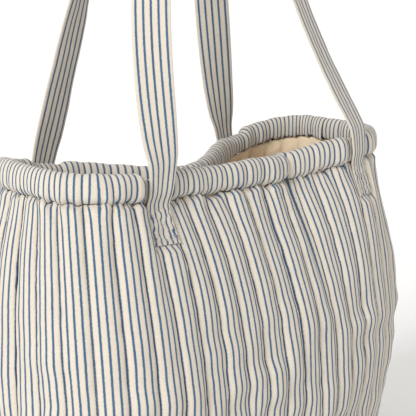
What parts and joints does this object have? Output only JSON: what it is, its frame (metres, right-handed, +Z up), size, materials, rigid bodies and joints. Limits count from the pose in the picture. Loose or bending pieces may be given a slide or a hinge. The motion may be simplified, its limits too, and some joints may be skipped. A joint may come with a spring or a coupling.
{
  "type": "quilted tote bag",
  "caption": "Soft quilted fabric tote bag with a rolled hem round an open mouth, flat bottom and two long fabric shoulder straps hinged at the hem's seam.",
  "frame": {"origin": "on the ground under the middle of the bag: bottom centre of the whole object's box", "axes": "+Z up, +X along the bag's wide side to the right, front panel towards -Y"},
  "size_m": [0.5706, 0.3014, 0.7649],
  "materials": {
    "striped_cotton": "matt cream cotton with narrow blue warp stripes",
    "lining_cotton": "matt beige cotton, quilted",
    "wadding": "white polyester wadding",
    "thread": "spun polyester sewing thread"
  },
  "bodies": {
    "root": {"cover_front": "striped_cotton", "cover_back": "striped_cotton", "cover_base": "striped_cotton", "wadding_front": "wadding", "wadding_back": "wadding", "wadding_base": "wadding", "lining_front": "lining_cotton", "lining_back": "lining_cotton", "lining_base": "lining_cotton", "hem_front": "striped_cotton", "hem_back": "striped_cotton", "hem_padding_front": "wadding", "hem_padding_back": "wadding", "hem_stitch_front": "thread", "hem_stitch_back": "thread", "strap_end_front_left": "striped_cotton", "strap_end_front_right": "striped_cotton", "strap_end_back_left": "striped_cotton", "strap_end_back_right": "striped_cotton", "box_stitch_front_left": "thread", "box_stitch_front_right": "thread", "box_stitch_back_left": "thread", "box_stitch_back_right": "thread"},
    "front_handle": {"front_handle": "striped_cotton"},
    "back_handle": {"back_handle": "striped_cotton"}
  },
  "joints": [
    {"name": "front_handle_fold", "type": "hinge", "parent": "root", "child": "front_handle", "pos_m": [0, -0.11636, 0.37078], "axis": [0.9947, -0.0968, 0.0332], "range_deg": [0, 135]},
    {"name": "back_handle_fold", "type": "hinge", "parent": "root", "child": "back_handle", "pos_m": [0, 0.091, 0.36619], "axis": [-1, 0, 0], "range_deg": [0, 135]}
  ]
}
